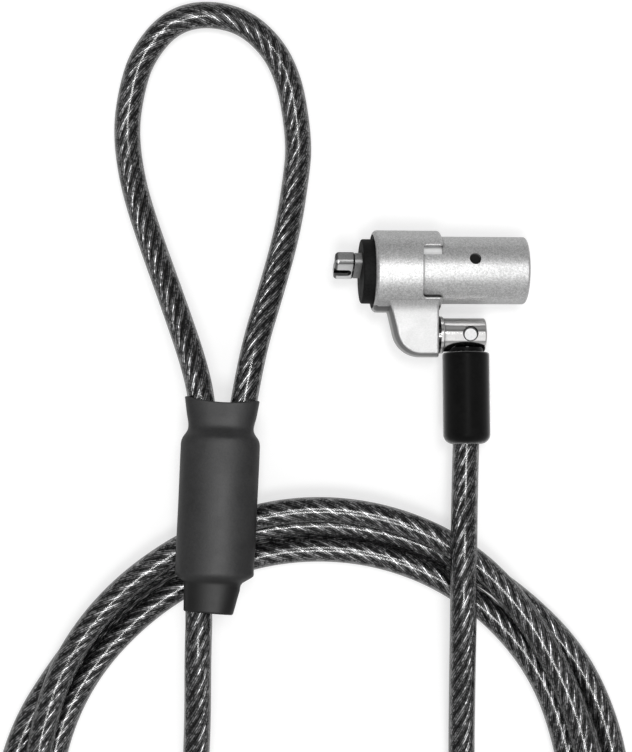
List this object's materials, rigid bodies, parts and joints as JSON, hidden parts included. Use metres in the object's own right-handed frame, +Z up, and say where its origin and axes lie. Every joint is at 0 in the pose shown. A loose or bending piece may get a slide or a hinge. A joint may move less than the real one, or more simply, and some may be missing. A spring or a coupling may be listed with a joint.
{
  "type": "laptop cable lock",
  "caption": "keyed laptop lock with a T-bar tip on a swivel stud, a coated steel cable in a flat coil, and a crimped eye loop under a grey sleeve",
  "frame": {"origin": "bottom centre of the lock head and boot, without the cable", "axes": "+X from the T-bar tip to the key end, +Y from the coil to the lock head, +Z up from the surface it lies on"},
  "size_m": [0.1254, 0.2209, 0.0197],
  "materials": {
    "lock_casting": "satin silver, fine sparkle",
    "bright_steel": "turned bright steel",
    "polished_nickel": "polished",
    "brass_pins": "plain brass",
    "black_rubber": "matte, finely mottled",
    "gloss_black_plastic": "gloss",
    "steel_rope": "stranded steel wire",
    "coated_cable": "clear smoky PVC over dark steel rope",
    "ferrule_metal": "pressed aluminium",
    "grey_shrink_sleeve": "matte dark grey"
  },
  "bodies": {
    "cable": {"swivel_stud": "polished_nickel", "stud_washer": "polished_nickel", "cross_pin": "polished_nickel", "cable_terminal": "bright_steel", "terminal_boot": "gloss_black_plastic", "cable_rope_end": "steel_rope", "cable_lead": "coated_cable", "cable_coil": "coated_cable", "cable_tail": "coated_cable", "cable_eye": "coated_cable", "crimp_ferrule": "ferrule_metal", "crimp_sleeve": "grey_shrink_sleeve"},
    "lock_head": {"lock_body": "lock_casting", "lock_barrel": "lock_casting", "core_housing": "bright_steel", "barrel_pin": "bright_steel", "body_pin": "bright_steel", "nose_plate": "bright_steel", "rubber_washer": "black_rubber", "driver_pins": "brass_pins", "pin_springs": "bright_steel", "stud_clip": "bright_steel"},
    "key_core": {"key_plug": "bright_steel", "key_pins": "brass_pins", "tee_bar": "bright_steel", "drive_pin": "bright_steel", "thrust_washer": "bright_steel"}
  },
  "joints": [
    {"name": "head_swivel", "type": "hinge", "parent": "cable", "child": "lock_head", "pos_m": [0.00155, 0.00067, 0.00787], "axis": [0.9963, 0, -0.0854], "range_deg": [-110, 110]},
    {"name": "key_turn", "type": "hinge", "parent": "lock_head", "child": "key_core", "pos_m": [0.00155, 0.01394, 0.00787], "axis": [0.9963, 0, -0.0854], "range_deg": [0, 90]}
  ]
}
